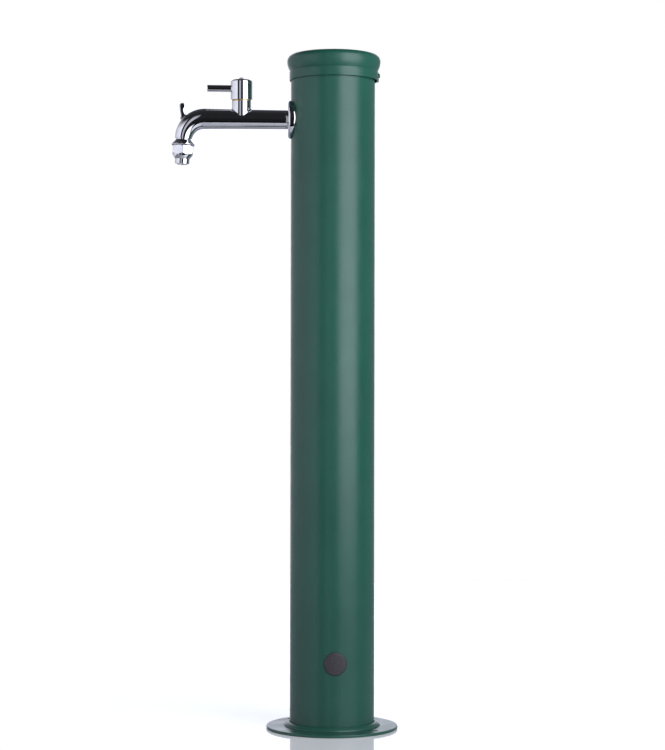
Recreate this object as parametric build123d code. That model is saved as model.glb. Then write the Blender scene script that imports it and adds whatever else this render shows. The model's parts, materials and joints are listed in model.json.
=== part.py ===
from build123d import *
import math
import os

# A free-standing water post: a painted steel column on a round base flange, a pressed cap on top,
# and a chromed bib tap on one side, fed by a rigid riser pipe inside the column.
# Millimetres, +Z up. The origin is on the column's axis, on the floor.
# The tap points along -X, the service plug faces -Y, and the cap's screw faces +X.
# "Reach" is a distance from the column's axis along -X.

# Base and column
FLANGE_R = 94.0
FLANGE_T = 4.0
FLANGE_TOP_ROUND = 1.4
FLANGE_FOOT_ROUND = 0.7
FLANGE_OPENING_R = 50.0
ANCHOR_PCD = 162.0
ANCHOR_HOLE_R = 3.5
ANCHOR_COUNT = 4
COLLAR_R = 69.0
COLLAR_EDGE_T = 0.5
COLLAR_TOP = 9.8
COLLAR_CROWN = (65.4, 8.3)
COLLAR_LIP = (1.1, 1.6)
COLUMN_R = 60.4
COLUMN_WALL = 2.0
COLUMN_TOP = 962.1
TAP_HOLE_R = 11.0

# Clearances: between fixed faces, between bodies, in a running fit, in a thread, in a tight fit,
# and round a screw in its hole
SEAM_GAP = 0.1
BODY_GAP = 0.3
RUNNING_GAP = 0.05
THREAD_GAP = 0.07
TIGHT_GAP = 0.02
HOLE_GAP = 0.15

# How far a cut runs past a face and a joined shape runs into the next, and distances from the
# axis that are well inside and well outside the column's wall
PAST = 1.0
INSIDE_R = 30.0
OUTSIDE_R = 80.0
TRIM_HALF = 40.0

# Service plug
PLUG_Z = 98.6
PLUG_HOLE_R = 15.0
PLUG_STEM_R = 14.6
PLUG_STEM_WALL = 2.2
PLUG_STEM_DEPTH = 9.0
PLUG_HEAD_R = 16.5
PLUG_HEAD_RISE = 2.6
PLUG_HEAD_ROUND = 1.3

# Cap and its screw
CAP_SHIFT = 1.2
CAP_SHEET = 1.2
CAP_BOTTOM = 928.4
CAP_SKIRT_R = 63.7
CAP_NECK_Z = 942.0
CAP_NECK_DEPTH = 0.45
CAP_BULGE_R = 67.05
CAP_BULGE_Z = 955.8
CAP_SHOULDER_R = 58.0
CAP_SHOULDER_Z = 965.4
CAP_SHOULDER_ANGLE = 82.0
CAP_APEX_Z = 967.2
SCREW_Z = 936.8
SCREW_R = 1.95
SCREW_HEAD_R = 2.9
SCREW_HEAD_T = 2.1
SCREW_HEAD_ROUND = 0.7
SCREW_TIP_GAP = 0.4
SLOT_W = 0.9
SLOT_DEPTH = 0.9
CLIP_SHEET = 0.7
CLIP_W = 10.0
CLIP_ABOVE_SCREW = 4.0
CLIP_BARREL_WALL = 1.2

# Tap body
TAP_Z = 872.0
PIPE_R = 13.95
PIPE_MID_R = 14.25
PIPE_BEND_R = 15.0
PIPE_BEND_FLARE = 0.02
SPOUT_END_R = 12.2
BORE_R = 6.5
INLET_BORE_R = 6.0
THREAD_R = 10.48
SHANK_END_REACH = 34.0
SHOULDER_REACH = 62.2
TAPER_REACH = 130.0
BEND_REACH = 184.0
BEND_R = 30.5
BEND_ANGLE = 87.0
BEND_STEPS = 6
VALVE_REACH = 131.6
BOSS_R = 13.9
BOSS_TOP = 897.5
SEAT_Z = 879.0
PORT_R = 5.5
CHAMBER_R = 9.6
SLANT_R = 4.5
SLANT_LENGTH = 20.0
SLANT_START = (7.4, 14.0)
SLANT_FALL = 0.95
SPOUT_BORE_OFFSET = 17.0
HOOK_LINE = (
    (216.8, 891.2, 3.4), (217.6, 886.6, 2.6), (217.0, 881.5, 2.35), (215.0, 876.0, 2.9), (210.0, 866.0, 4.2))
HOOK_BULB_R = 4.3
HOOK_HALF_T = 2.3

# Rosette and wall fixing
ROSETTE_R = 27.9
ROSETTE_REACH = 66.3
ROSETTE_SHEET = 1.3
ROSETTE_ROUND = 4.2
GASKET_R = 13.6
WASHER_R = 16.0
BACKNUT_FLATS = 27.0
BACKNUT_REACHES = (47.8, 53.8)

# Valve cartridge
FLANGE_RING_R = 13.75
FLANGE_RING_TOP = 898.85
CARTRIDGE_R = 9.4
CARTRIDGE_FOOT = 880.2
CARTRIDGE_THREAD_FOOT = 888.0
CARTRIDGE_HEX_FLATS = 17.0
CARTRIDGE_HEX_TOP = 904.5
SEAL_GROOVE = 1.6
WINDOW_Z = 887.4
WINDOW_W = 7.0
WINDOW_H = 3.0
SEAT_SEAL_BORE_R = 5.7
SEAT_SEAL_TOP = 881.4
FIXED_DISC = (881.5, 884.3)
TURNING_DISC = (884.4, 887.2)
DISC_CHAMBER_R = 8.2
DISC_CHAMBER_TOP = 889.5
GUIDE_TOP = 912.0
GUIDE_R = 6.5
DISC_R = 7.9
DISC_PORT_R = 2.0
DISC_PORT_OFFSET = 4.3
SPINDLE_R = 4.0
SPINDLE_FOOT_R = 7.2
SPINDLE_FOOT = (887.3, 888.9)
SEAL_GROOVE_R = 2.9
SEAL_GROOVE_SPAN = (895.0, 896.9)
CLIP_GROOVE_R = 3.2
CLIP_GROOVE_SPAN = (912.4, 913.2)
CLIP_R = 6.0
CLIP_OPENING = 3.0

# Handle
KNOB_R = 15.75
KNOB_BOTTOM = 899.15
KNOB_TOP = 928.6
KNOB_ROUND = 2.6
KNOB_FOOT_ROUND = 0.3
KNOB_ROOF = 914.0
KNOB_BORE_R = 13.9
KNOB_BORE_TOP = 906.0
KNOB_HUB_BORE_R = 8.5
SQUARE = 6.0
SQUARE_TOP = 922.2
SCREW_SEAT = 924.4
HANDLE_SCREW_HEAD_R = 3.4
HANDLE_SCREW_HEAD_T = 2.1
SOCKET_R = 1.4
SOCKET_DEPTH = 1.2
LEVER_R = 5.0
LEVER_Z = 915.8
LEVER_END_REACH = 180.6
LEVER_CHAMFER = 0.4
SPIGOT_R = 2.9
SPIGOT_LENGTH = 5.0
BUTTON_R = 3.85
BUTTON_SEAT = 926.9
BUTTON_SHOULDER = 929.4
BUTTON_TOP = 932.0

# Spout outlet, measured along the spout's end from its shoulder
OUTLET_THREAD_LENGTH = 19.5
OUTLET_WASHER_T = 1.75
FLARE_FACES = (1.4, 4.4)
FLARE_OUTLINE = ((12.0, 1.4), (12.7, 2.4), (18.75, 8.2), (18.75, 9.1), (18.1, 9.3), (12.2, 4.6))
HEX_FLATS = 29.0
HEX_START = 10.4
HEX_END = 22.6
HEX_CHAMFER = (1.7, 1.5)
CONE_R = 15.4
CONE_END = 29.2
TIP_R = 10.5
TIP_END = 36.6
TIP_BORE_R = 8.2
TIP_ROUND = 1.1
STRAIGHTENER_WALL = 1.05
STRAIGHTENER_SPAN = (29.7, 35.4)
VANE_T = 0.8

# Riser and its fittings
RISER_REACH = 24.0
RISER_R = 7.5
RISER_BORE_R = 6.5
RISER_TOP = 851.7
RISER_BOTTOM = 70.3
RISER_SOCKET_R = 7.55
RISER_SOCKET_DEPTH = 10.0
ELBOW_R = 13.2
ELBOW_STEM_R = 12.2
ELBOW_GAP = 1.3
COMPRESSION_R = 11.0
COMPRESSION_FLATS = 26.0
UNION_LENGTH = 19.0
UNION_LIP = 4.5
OLIVE_R = 9.8
OLIVE_SPAN = (10.2, 14.3)
INLET_FOOT = 44.0
INLET_HEX = (60.0, 67.0)
INLET_FLATS = 27.0
BRACKET_HEIGHTS = (200.0, 700.0)
BRACKET_T = 8.0
BRACKET_TAB_W = 16.0
BRACKET_TAB_T = 3.0
BRACKET_RING_R = 12.5
BRACKET_BORE_R = 10.2
BUSH_LIP = 0.5

ABOVE = (Align.CENTER, Align.CENTER, Align.MIN)


def upright(radius, low, high, reach=0.0):
    """A vertical cylinder between two heights."""
    return Pos(-reach, 0, low) * Cylinder(radius, high - low, align=ABOVE)


def ring(inner, outer, low, high, reach=0.0):
    """A vertical ring between two heights."""
    return upright(outer, low, high, reach) - upright(inner, low - PAST, high + PAST, reach)


def trimming(radius, middle):
    """A cylinder about the column's axis, tall enough to trim a fitting at a height."""
    return upright(radius, middle - TRIM_HALF, middle + TRIM_HALF)


def along_tap(radius, start, end):
    """A cylinder on the tap's axis between two reaches."""
    return Pos(-start, 0, TAP_Z) * Rot(0, -90, 0) * Cylinder(radius, end - start, align=ABOVE)


def toward_plug(radius, start, end):
    """A cylinder on the plug's axis between two distances along -Y."""
    return Pos(0, -start, PLUG_Z) * Rot(90, 0, 0) * Cylinder(radius, end - start, align=ABOVE)


def toward_screw(radius, start, end):
    """A cylinder on the cap screw's axis between two distances along +X."""
    return Pos(start, 0, SCREW_Z) * Rot(0, 90, 0) * Cylinder(radius, end - start, align=ABOVE)


def hexagon(across_flats, low, high, reach=0.0):
    """A vertical hexagonal prism with one flat facing -Y."""
    outline = RegularPolygon(across_flats / 2, 6, major_radius=False, rotation=30)
    return Pos(-reach, 0, low) * extrude(outline, high - low)


def turned(points):
    """A solid of revolution about Z from a closed outline of (radius, height) points."""
    return revolve(Plane.XZ * make_face(Polyline(*points, close=True)), Axis.Z)


# Base and column

def base_flange():
    disc = upright(FLANGE_R, 0, FLANGE_T)
    disc = fillet(disc.edges().sort_by(Axis.Z)[-1], FLANGE_TOP_ROUND)
    disc = fillet(disc.edges().sort_by(Axis.Z)[0], FLANGE_FOOT_ROUND)
    disc -= upright(FLANGE_OPENING_R, -PAST, FLANGE_T + PAST)
    for place in PolarLocations(ANCHOR_PCD / 2, ANCHOR_COUNT, start_angle=45):
        disc -= place * upright(ANCHOR_HOLE_R, -PAST, FLANGE_T + PAST)
    return disc


def foot_collar():
    """A pressed ring with a crowned top, whose lip drops to a groove beside the column."""
    inner = COLUMN_R + SEAM_GAP
    lip_width, lip_drop = COLLAR_LIP
    lip = (inner + lip_width, COLLAR_TOP)
    rim = (COLLAR_R, FLANGE_T + COLLAR_EDGE_T)
    sides = Polyline(lip, (inner, COLLAR_TOP - lip_drop), (inner, FLANGE_T), (COLLAR_R, FLANGE_T), rim)
    crown = ThreePointArc(rim, COLLAR_CROWN, lip)
    return revolve(Plane.XZ * make_face(sides + crown), Axis.Z)


def column_tube():
    tube = ring(COLUMN_R - COLUMN_WALL, COLUMN_R, FLANGE_T, COLUMN_TOP)
    tube -= along_tap(TAP_HOLE_R, INSIDE_R, OUTSIDE_R)
    return tube - toward_plug(PLUG_HOLE_R, INSIDE_R, OUTSIDE_R)


def service_plug():
    inside = COLUMN_R - PLUG_STEM_DEPTH
    face = COLUMN_R + PLUG_HEAD_RISE
    head = toward_plug(PLUG_HEAD_R, inside, OUTSIDE_R) & trimming(face, PLUG_Z)
    head = fillet(head.faces().sort_by(Axis.Y)[0].edges(), PLUG_HEAD_ROUND)
    head -= trimming(COLUMN_R + BODY_GAP, PLUG_Z)
    stem = toward_plug(PLUG_STEM_R, inside, COLUMN_R + PAST)
    hollow = toward_plug(PLUG_STEM_R - PLUG_STEM_WALL, inside - PAST, COLUMN_R - COLUMN_WALL)
    return head + stem - hollow


# Cap

def cap_contour(inset):
    """The cap's outer contour, from the skirt's rim to the apex, set in by a thickness."""
    skirt = CAP_SKIRT_R - inset
    neck = skirt - CAP_NECK_DEPTH
    bulge = CAP_BULGE_R - inset
    apex = CAP_APEX_Z - inset
    side = Polyline((skirt, CAP_BOTTOM), (skirt, CAP_NECK_Z - 2 * CAP_NECK_DEPTH), (neck, CAP_NECK_Z))
    flare = Spline((neck, CAP_NECK_Z), (bulge, CAP_BULGE_Z), tangents=[(0.45, 1), (0, 1)])
    rise = CAP_SHOULDER_Z - inset - CAP_BULGE_Z
    shoulder = EllipticalCenterArc((CAP_SHOULDER_R, CAP_BULGE_Z), bulge - CAP_SHOULDER_R, rise,
                                   arc_size=CAP_SHOULDER_ANGLE)
    dome = Spline(shoulder @ 1, (0, apex), tangents=[shoulder % 1, (-1, 0)])
    return side + flare + shoulder + dome


def top_cap():
    rim = Line((CAP_SKIRT_R - CAP_SHEET, CAP_BOTTOM), (CAP_SKIRT_R, CAP_BOTTOM))
    centre = Line((0, CAP_APEX_Z - CAP_SHEET), (0, CAP_APEX_Z))
    outline = make_face(cap_contour(0) + cap_contour(CAP_SHEET) + rim + centre)
    cap = Pos(CAP_SHIFT, 0, 0) * revolve(Plane.YZ * outline, Axis.Z)
    return cap - toward_screw(SCREW_R + HOLE_GAP, INSIDE_R, OUTSIDE_R)


def cap_screw():
    seat = CAP_SKIRT_R + CAP_SHIFT + SEAM_GAP + CLIP_SHEET
    head = toward_screw(SCREW_HEAD_R, seat, seat + SCREW_HEAD_T)
    head = fillet(head.edges().sort_by(Axis.X)[-1], SCREW_HEAD_ROUND)
    slot = Box(2 * SLOT_DEPTH, 3 * SCREW_HEAD_R, SLOT_W)
    head -= Pos(seat + SCREW_HEAD_T, 0, SCREW_Z) * slot
    return head + toward_screw(SCREW_R, COLUMN_R + SCREW_TIP_GAP, seat)


def cap_clip_nut():
    """A spring-steel J clip over the skirt's rim, with a threaded barrel on its inner leaf."""
    inner_face = CAP_SKIRT_R - CAP_SHEET + CAP_SHIFT - SEAM_GAP
    outer_face = CAP_SKIRT_R + CAP_SHIFT + SEAM_GAP
    base = CAP_BOTTOM - SEAM_GAP - CLIP_SHEET
    high = SCREW_Z + CLIP_ABOVE_SCREW
    leaf = Box(CLIP_SHEET, CLIP_W, high - base, align=ABOVE)
    inner = Pos(inner_face - CLIP_SHEET / 2, 0, base) * leaf
    outer = Pos(outer_face + CLIP_SHEET / 2, 0, base) * leaf
    width = outer_face - inner_face + 2 * CLIP_SHEET
    bridge = Pos(inner_face - CLIP_SHEET, 0, base) * Box(
        width, CLIP_W, CLIP_SHEET, align=(Align.MIN, Align.CENTER, Align.MIN))
    barrel = toward_screw(SCREW_R + CLIP_BARREL_WALL, COLUMN_R + SCREW_TIP_GAP, inner_face)
    clip = inner + outer + bridge + barrel - cap_wall_slot()
    return clip - toward_screw(SCREW_R + RUNNING_GAP, INSIDE_R, OUTSIDE_R)


def cap_wall_slot():
    """The room that the curved skirt takes between the clip's leaves."""
    outer = upright(CAP_SKIRT_R + SEAM_GAP, CAP_BOTTOM - SEAM_GAP, CAP_NECK_Z)
    inner = upright(CAP_SKIRT_R - CAP_SHEET - SEAM_GAP, CAP_BOTTOM - PAST, CAP_NECK_Z + PAST)
    return Pos(CAP_SHIFT, 0, 0) * (outer - inner)


# Tap body

def bend_plane(angle):
    """The cross-section plane of the spout's bend at an angle from its start."""
    turn = math.radians(angle)
    reach = BEND_REACH + BEND_R * math.sin(turn)
    height = TAP_Z - BEND_R * (1 - math.cos(turn))
    return Plane((-reach, 0, height), x_dir=(0, 1, 0), z_dir=(-math.cos(turn), 0, -math.sin(turn)))


def outlet_part(shape):
    """Places a shape, drawn up from the XY plane, on the spout's end, pointing out of it."""
    return bend_plane(BEND_ANGLE).location * shape


def straight_pipe():
    """The pipe from its wall shoulder to the bend, slightly fuller towards the bend."""
    length = BEND_REACH - SHOULDER_REACH
    half = TAPER_REACH - SHOULDER_REACH
    slope = (PIPE_MID_R - PIPE_R) / half
    sides = Polyline((0, length), (0, 0), (PIPE_R, 0), (PIPE_MID_R, half))
    taper = Spline((PIPE_MID_R, half), (PIPE_BEND_R, length), tangents=[(slope, 1), (PIPE_BEND_FLARE, 1)])
    end = Line((PIPE_BEND_R, length), (0, length))
    outline = Plane.XZ * make_face(sides + taper + end)
    return Pos(-SHOULDER_REACH, 0, TAP_Z) * Rot(0, -90, 0) * revolve(outline, Axis.Z)


def spout_bend():
    """The bend, drawn down from the pipe's radius to the spout's end."""
    sections = []
    for step in range(BEND_STEPS + 1):
        share = step / BEND_STEPS
        radius = PIPE_BEND_R + (SPOUT_END_R - PIPE_BEND_R) * share
        sections.append(bend_plane(BEND_ANGLE * share) * Circle(radius))
    return loft(sections)


def bend_bore():
    path = CenterArc((0, 0), BEND_R, 0, BEND_ANGLE)
    pivot = Plane((-BEND_REACH, 0, TAP_Z - BEND_R), x_dir=(0, 0, 1), z_dir=(0, -1, 0))
    return sweep(bend_plane(0) * Circle(BORE_R), path=pivot * path)


def bucket_hook():
    """A flat cast hook on the outside of the bend, leaning back to a round end."""
    sections = []
    for index, (reach, height, radius) in enumerate(HOOK_LINE):
        before = HOOK_LINE[max(index - 1, 0)]
        after = HOOK_LINE[min(index + 1, len(HOOK_LINE) - 1)]
        run = Vector(before[0] - after[0], 0, after[1] - before[1])
        sections.append(Plane((-reach, 0, height), x_dir=(0, 1, 0), z_dir=run) * Circle(radius))
    reach, height, _ = HOOK_LINE[0]
    hook = loft(sections) + Pos(-reach, 0, height) * Sphere(HOOK_BULB_R)
    return hook & Pos(-reach, 0, height) * Box(4 * BEND_R, 2 * HOOK_HALF_T, 4 * BEND_R)


def tap_waterways():
    """The drilled ways: inlet, port under the seat, cartridge chamber, and the way on to the spout."""
    ways = along_tap(INLET_BORE_R, SHANK_END_REACH - PAST, VALVE_REACH + PORT_R)
    ways += upright(PORT_R, TAP_Z, SEAT_Z + PAST, VALVE_REACH)
    ways += upright(CHAMBER_R, SEAT_Z, BOSS_TOP + PAST, VALVE_REACH)
    ways += upright(THREAD_R, CARTRIDGE_THREAD_FOOT, BOSS_TOP + PAST, VALVE_REACH)
    reach, rise = SLANT_START
    slant = Plane((-VALVE_REACH - reach, 0, TAP_Z + rise), x_dir=(0, 1, 0), z_dir=(-1, 0, -SLANT_FALL))
    ways += slant * Cylinder(SLANT_R, SLANT_LENGTH, align=ABOVE)
    ways += along_tap(BORE_R, VALVE_REACH + SPOUT_BORE_OFFSET, BEND_REACH)
    ways += bend_bore()
    return ways + outlet_part(upright(BORE_R, -TIGHT_GAP, OUTLET_THREAD_LENGTH + PAST))


def tap_body():
    body = straight_pipe() + spout_bend()
    body += upright(BOSS_R, TAP_Z, BOSS_TOP, VALVE_REACH)
    body += bucket_hook()
    body += along_tap(THREAD_R, SHANK_END_REACH, SHOULDER_REACH + PAST)
    body += outlet_part(upright(THREAD_R, -PAST, OUTLET_THREAD_LENGTH))
    return body - tap_waterways()


# Wall fixing

def rosette():
    """A pressed cup with a flat face, whose wall runs back to the column's curve."""
    cup = along_tap(ROSETTE_R, INSIDE_R, ROSETTE_REACH)
    cup = fillet(cup.edges().sort_by(Axis.X)[0], ROSETTE_ROUND)
    room = along_tap(ROSETTE_R - ROSETTE_SHEET, INSIDE_R - PAST, ROSETTE_REACH - ROSETTE_SHEET)
    cup -= fillet(room.edges().sort_by(Axis.X)[0], ROSETTE_ROUND - ROSETTE_SHEET)
    cup -= trimming(COLUMN_R + SEAM_GAP, TAP_Z)
    return cup - along_tap(PIPE_R + HOLE_GAP, INSIDE_R, OUTSIDE_R)


def tap_gasket():
    gasket = along_tap(GASKET_R, INSIDE_R, SHOULDER_REACH - SEAM_GAP)
    gasket -= trimming(COLUMN_R + SEAM_GAP, TAP_Z)
    return gasket - along_tap(THREAD_R + SEAM_GAP, 0, OUTSIDE_R)


def wall_washer():
    washer = along_tap(WASHER_R, BACKNUT_REACHES[1] + SEAM_GAP, OUTSIDE_R)
    washer &= trimming(COLUMN_R - COLUMN_WALL - SEAM_GAP, TAP_Z)
    return washer - along_tap(THREAD_R + SEAM_GAP, 0, OUTSIDE_R)


def backnut():
    near, far = BACKNUT_REACHES
    prism = Pos(-near, 0, TAP_Z) * Rot(0, -90, 0) * hexagon(BACKNUT_FLATS, 0, far - near)
    return prism - along_tap(THREAD_R + THREAD_GAP, 0, COLUMN_R)


# Valve cartridge

def cartridge_body():
    thread = THREAD_R - THREAD_GAP
    groove = BOSS_TOP - SEAL_GROOVE
    seat = BOSS_TOP + RUNNING_GAP
    body = turned([(0, CARTRIDGE_FOOT), (CARTRIDGE_R, CARTRIDGE_FOOT), (CARTRIDGE_R, CARTRIDGE_THREAD_FOOT),
                   (thread, CARTRIDGE_THREAD_FOOT), (thread, groove), (CARTRIDGE_R, groove),
                   (CARTRIDGE_R, seat), (FLANGE_RING_R, seat), (FLANGE_RING_R, FLANGE_RING_TOP),
                   (GUIDE_R, FLANGE_RING_TOP), (GUIDE_R, GUIDE_TOP), (0, GUIDE_TOP)])
    body = Pos(-VALVE_REACH, 0, 0) * body
    body += hexagon(CARTRIDGE_HEX_FLATS, FLANGE_RING_TOP - PAST, CARTRIDGE_HEX_TOP, VALVE_REACH)
    body -= upright(DISC_CHAMBER_R, CARTRIDGE_FOOT - PAST, DISC_CHAMBER_TOP, VALVE_REACH)
    body -= upright(SPINDLE_R + RUNNING_GAP, CARTRIDGE_FOOT, GUIDE_TOP + PAST, VALVE_REACH)
    return body - Pos(-VALVE_REACH, 0, WINDOW_Z) * Box(4 * CARTRIDGE_R, WINDOW_W, WINDOW_H)


def cartridge_seal():
    low = BOSS_TOP - SEAL_GROOVE + SEAM_GAP
    return ring(CARTRIDGE_R + RUNNING_GAP, THREAD_R - RUNNING_GAP, low, BOSS_TOP - SEAM_GAP, VALVE_REACH)


def seat_seal():
    return ring(SEAT_SEAL_BORE_R, DISC_R, SEAT_Z + RUNNING_GAP, SEAT_SEAL_TOP, VALVE_REACH)


def ceramic_disc(span, port_angle):
    low, high = span
    disc = upright(DISC_R, low, high, VALVE_REACH)
    ports = PolarLocations(DISC_PORT_OFFSET, 2, start_angle=port_angle)
    for place in ports:
        disc -= Pos(-VALVE_REACH, 0, 0) * place * upright(DISC_PORT_R, low - PAST, high + PAST)
    return disc


def spindle():
    foot_low, foot_high = SPINDLE_FOOT
    seal_low, seal_high = SEAL_GROOVE_SPAN
    clip_low, clip_high = CLIP_GROOVE_SPAN
    top = KNOB_ROOF - SEAM_GAP
    shaft = turned([(0, foot_low), (SPINDLE_FOOT_R, foot_low), (SPINDLE_FOOT_R, foot_high),
                    (SPINDLE_R, foot_high), (SPINDLE_R, seal_low), (SEAL_GROOVE_R, seal_low),
                    (SEAL_GROOVE_R, seal_high), (SPINDLE_R, seal_high), (SPINDLE_R, clip_low),
                    (CLIP_GROOVE_R, clip_low), (CLIP_GROOVE_R, clip_high), (SPINDLE_R, clip_high),
                    (SPINDLE_R, top), (0, top)])
    side = SQUARE - SEAM_GAP
    shaft += Pos(0, 0, top - SEAM_GAP) * Box(side, side, SQUARE_TOP - top + SEAM_GAP, align=ABOVE)
    return Pos(-VALVE_REACH, 0, 0) * (shaft - upright(SCREW_R + RUNNING_GAP, KNOB_ROOF, KNOB_TOP))


def spindle_seal():
    low, high = SEAL_GROOVE_SPAN
    return ring(SEAL_GROOVE_R + RUNNING_GAP, SPINDLE_R, low + RUNNING_GAP, high - RUNNING_GAP, VALVE_REACH)


def spindle_clip():
    low, high = CLIP_GROOVE_SPAN
    clip = ring(CLIP_GROOVE_R + RUNNING_GAP, CLIP_R, low + TIGHT_GAP, high - TIGHT_GAP, VALVE_REACH)
    return clip - Pos(-VALVE_REACH, CLIP_R, low) * Box(CLIP_OPENING, 2 * CLIP_R, CLIP_OPENING)


# Handle

def handle_knob():
    knob = upright(KNOB_R, KNOB_BOTTOM, KNOB_TOP, VALVE_REACH)
    knob = fillet(knob.edges().sort_by(Axis.Z)[-1], KNOB_ROUND)
    knob = fillet(knob.edges().sort_by(Axis.Z)[0], KNOB_FOOT_ROUND)
    knob -= upright(KNOB_BORE_R, KNOB_BOTTOM - PAST, KNOB_BORE_TOP, VALVE_REACH)
    knob -= upright(KNOB_HUB_BORE_R, KNOB_BOTTOM, KNOB_ROOF, VALVE_REACH)
    square_height = SQUARE_TOP + 2 * SEAM_GAP - KNOB_ROOF + PAST
    knob -= Pos(-VALVE_REACH, 0, KNOB_ROOF - PAST) * Box(SQUARE, SQUARE, square_height, align=ABOVE)
    knob -= upright(SCREW_R + HOLE_GAP, KNOB_ROOF, KNOB_TOP + PAST, VALVE_REACH)
    knob -= upright(BUTTON_R + SEAM_GAP, SCREW_SEAT, KNOB_TOP + PAST, VALVE_REACH)
    return knob - lever_rod(SPIGOT_R + RUNNING_GAP, KNOB_R - SPIGOT_LENGTH - SEAM_GAP, KNOB_R + PAST)


def lever_rod(radius, start, end):
    """A rod on the lever's axis between two distances from the spindle's axis."""
    rod = Cylinder(radius, end - start, align=ABOVE)
    return Pos(-VALVE_REACH - start, 0, LEVER_Z) * Rot(0, -90, 0) * rod


def handle_lever():
    rod = lever_rod(LEVER_R, KNOB_R - SPIGOT_LENGTH, LEVER_END_REACH - VALVE_REACH)
    rod = chamfer(rod.edges().sort_by(Axis.X)[0], LEVER_CHAMFER)
    rod -= upright(KNOB_R + RUNNING_GAP, KNOB_BOTTOM, KNOB_TOP, VALVE_REACH)
    return rod + lever_rod(SPIGOT_R, KNOB_R - SPIGOT_LENGTH, KNOB_R + PAST)


def handle_screw():
    seat = SCREW_SEAT + SEAM_GAP
    top = seat + HANDLE_SCREW_HEAD_T
    head = upright(HANDLE_SCREW_HEAD_R, seat, top, VALVE_REACH)
    head -= upright(SOCKET_R, top - SOCKET_DEPTH, top + PAST, VALVE_REACH)
    return head + upright(SCREW_R, KNOB_ROOF + PAST, seat, VALVE_REACH)


def handle_button():
    rise = BUTTON_TOP - BUTTON_SHOULDER
    dome_r = (BUTTON_R ** 2 + rise ** 2) / (2 * rise)
    dome = Pos(-VALVE_REACH, 0, BUTTON_TOP - dome_r) * Sphere(dome_r)
    return upright(BUTTON_R, BUTTON_SEAT, BUTTON_TOP + PAST, VALVE_REACH) & dome


# Spout outlet

def outlet_collar():
    """A thin flared ring on the spout's thread, above the nozzle's hexagon."""
    bore = THREAD_R + THREAD_GAP
    low, high = FLARE_FACES
    return outlet_part(turned([(bore, low), *FLARE_OUTLINE, (bore, high)]))


def outlet_nozzle():
    prism = hexagon(HEX_FLATS, HEX_START, HEX_END)
    corner = HEX_FLATS / math.sqrt(3)
    inward, along = HEX_CHAMFER
    prism &= turned([(0, HEX_START), (corner - inward, HEX_START), (corner, HEX_START + along),
                     (corner, HEX_END - along), (corner - inward, HEX_END), (0, HEX_END)])
    cone = turned([(0, HEX_END), (CONE_R, HEX_END), (TIP_R, CONE_END), (TIP_R, TIP_END), (0, TIP_END)])
    cone = fillet(cone.edges().sort_by(Axis.Z)[-1], TIP_ROUND)
    nozzle = prism + cone
    seat = OUTLET_THREAD_LENGTH + OUTLET_WASHER_T + RUNNING_GAP
    nozzle -= upright(THREAD_R + THREAD_GAP, HEX_START - PAST, seat)
    nozzle -= upright(TIP_BORE_R, HEX_START, TIP_END + PAST)
    return outlet_part(nozzle)


def outlet_washer():
    low = OUTLET_THREAD_LENGTH + RUNNING_GAP
    high = OUTLET_THREAD_LENGTH + OUTLET_WASHER_T
    return outlet_part(ring(BORE_R + BODY_GAP, THREAD_R - SEAM_GAP, low, high))


def flow_straightener():
    """A ring with crossed vanes that sits in the nozzle's tip."""
    low, high = STRAIGHTENER_SPAN
    outer = TIP_BORE_R - RUNNING_GAP
    insert = ring(outer - STRAIGHTENER_WALL, outer, low, high)
    vane = Pos(0, 0, low) * Box(2 * outer - STRAIGHTENER_WALL, VANE_T, high - low - VANE_T, align=ABOVE)
    for turn in (0, 60, 120):
        insert += Rot(0, 0, turn) * vane
    return outlet_part(insert)


# Riser

def riser_elbow():
    socket = RISER_TOP - RISER_SOCKET_DEPTH
    elbow = along_tap(ELBOW_R, RISER_REACH, BACKNUT_REACHES[0] - ELBOW_GAP)
    elbow += Pos(-RISER_REACH, 0, TAP_Z) * Sphere(ELBOW_R)
    elbow += upright(ELBOW_STEM_R, RISER_TOP, TAP_Z, RISER_REACH)
    elbow += upright(COMPRESSION_R, socket, RISER_TOP + PAST, RISER_REACH)
    elbow -= along_tap(THREAD_R + THREAD_GAP, SHANK_END_REACH - SEAM_GAP, COLUMN_R)
    elbow -= along_tap(BORE_R, RISER_REACH, COLUMN_R)
    elbow -= upright(BORE_R, socket - PAST, TAP_Z, RISER_REACH)
    return elbow - upright(RISER_SOCKET_R, socket - PAST, RISER_TOP + SEAM_GAP, RISER_REACH)


def riser_pipe():
    return ring(RISER_BORE_R, RISER_R, RISER_BOTTOM, RISER_TOP, RISER_REACH)


def upper_union_nut():
    low = RISER_TOP - UNION_LENGTH
    nut = hexagon(COMPRESSION_FLATS, low, RISER_TOP - PAST, RISER_REACH)
    nut -= upright(RISER_SOCKET_R + RUNNING_GAP, low - PAST, low + UNION_LIP + PAST, RISER_REACH)
    return nut - upright(COMPRESSION_R + THREAD_GAP, low + UNION_LIP, RISER_TOP, RISER_REACH)


def upper_olive():
    near, far = OLIVE_SPAN
    return ring(RISER_R + TIGHT_GAP, OLIVE_R, RISER_TOP - far, RISER_TOP - near, RISER_REACH)


def inlet_connector():
    hex_low, hex_high = INLET_HEX
    socket = RISER_BOTTOM + RISER_SOCKET_DEPTH
    body = hexagon(INLET_FLATS, hex_low, hex_high, RISER_REACH)
    body += upright(THREAD_R, INLET_FOOT, hex_low + PAST, RISER_REACH)
    body += upright(COMPRESSION_R, hex_high - PAST, socket, RISER_REACH)
    body -= upright(BORE_R, INLET_FOOT - PAST, socket + PAST, RISER_REACH)
    return body - upright(RISER_SOCKET_R, RISER_BOTTOM - SEAM_GAP, socket + PAST, RISER_REACH)


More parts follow.
